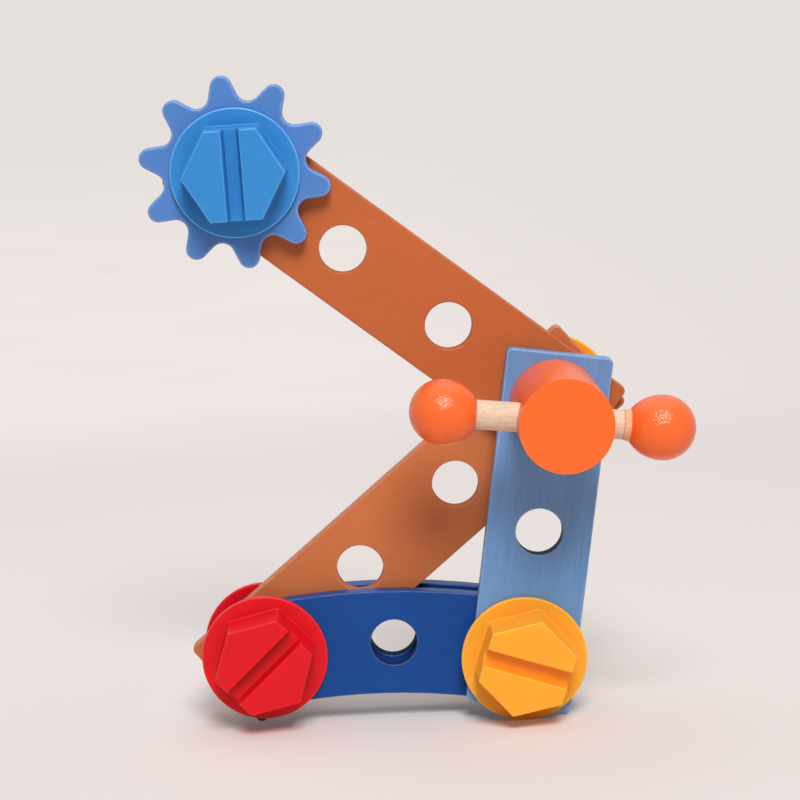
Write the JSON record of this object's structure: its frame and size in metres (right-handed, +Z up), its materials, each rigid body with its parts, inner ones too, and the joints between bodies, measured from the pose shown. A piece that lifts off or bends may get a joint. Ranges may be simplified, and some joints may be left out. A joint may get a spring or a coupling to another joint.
{
  "type": "wooden crank gear toy",
  "caption": "Wooden construction toy: painted plates bolted into a standing triangle, a toothed gear on a swinging arm, and a T-shaped crank with ball ends.",
  "frame": {"origin": "on the floor plane, under the middle of the whole toy's box", "axes": "+Z up; +Y away from the viewer, so the crank head and the bolts' slotted heads face -Y and the nuts face +Y; +X to the viewer's right, from the gear towards the crank"},
  "size_m": [0.177, 0.085, 0.2231],
  "materials": {
    "light_blue_paint": "satin",
    "brown_paint": "satin",
    "dark_blue_paint": "satin",
    "gear_blue_paint": "satin",
    "orange_paint": "satin",
    "beech": "matte",
    "blue_plastic": "satin",
    "red_plastic": "satin",
    "yellow_plastic": "satin"
  },
  "bodies": {
    "frame": {"upright_plate": "light_blue_paint", "strut_plate": "brown_paint", "front_arc_plate": "dark_blue_paint", "rear_arc_plate": "dark_blue_paint"},
    "arm": {"arm_plate": "brown_paint"},
    "gear": {"gear": "gear_blue_paint"},
    "gear_bolt": {"gear_bolt": "blue_plastic"},
    "gear_nut": {"gear_nut": "blue_plastic"},
    "red_bolt": {"red_bolt": "red_plastic"},
    "red_nut": {"red_nut": "red_plastic"},
    "yellow_bolt": {"yellow_bolt": "yellow_plastic"},
    "yellow_nut": {"yellow_nut": "yellow_plastic"},
    "crank": {"crank_screw": "orange_paint", "crank_nut": "yellow_plastic"},
    "bar": {"crank_bar": "beech", "left_ball": "orange_paint", "right_ball": "orange_paint"}
  },
  "joints": [
    {"name": "arm_swing", "type": "hinge", "parent": "frame", "child": "arm", "pos_m": [0.04579, 0.00217, 0.10844], "axis": [0, -1, 0], "range_deg": [-176, 54]},
    {"name": "gear_spin", "type": "hinge", "parent": "arm", "child": "gear", "pos_m": [-0.05708, 0.00217, 0.19116], "axis": [0, -1, 0], "continuous": true},
    {"name": "gear_bolt_turn", "type": "hinge", "parent": "arm", "child": "gear_bolt", "pos_m": [-0.05708, 0.00217, 0.19116], "axis": [0, -1, 0], "range_deg": [0, 1080]},
    {"name": "gear_nut_travel", "type": "slide", "parent": "arm", "child": "gear_nut", "axis": [0, 1, 0], "range_m": [0, 0.0121]},
    {"name": "red_bolt_turn", "type": "hinge", "parent": "frame", "child": "red_bolt", "pos_m": [-0.05636, 0.00833, 0.02483], "axis": [0, -1, 0], "range_deg": [0, 1080]},
    {"name": "red_nut_travel", "type": "slide", "parent": "frame", "child": "red_nut", "axis": [0, 1, 0], "range_m": [0, 0.0121]},
    {"name": "yellow_bolt_turn", "type": "hinge", "parent": "frame", "child": "yellow_bolt", "pos_m": [0.03218, 0.00217, 0.0215], "axis": [0, -1, 0], "range_deg": [0, 1080]},
    {"name": "yellow_nut_travel", "type": "slide", "parent": "frame", "child": "yellow_nut", "axis": [0, 1, 0], "range_m": [0, 0.0121]},
    {"name": "crank_turn", "type": "hinge", "parent": "frame", "child": "crank", "pos_m": [0.04579, 0.00217, 0.10844], "axis": [0, -1, 0], "continuous": true},
    {"name": "bar_slide", "type": "slide", "parent": "crank", "child": "bar", "axis": [0.9926, 0, -0.1211], "range_m": [-0.0058, 0.0132]}
  ],
  "couplings": [
    {"joint": "gear_nut_travel", "follows": "gear_bolt_turn", "m_per_rad": 0.00063662},
    {"joint": "red_nut_travel", "follows": "red_bolt_turn", "m_per_rad": 0.00063662},
    {"joint": "yellow_nut_travel", "follows": "yellow_bolt_turn", "m_per_rad": 0.00063662}
  ]
}
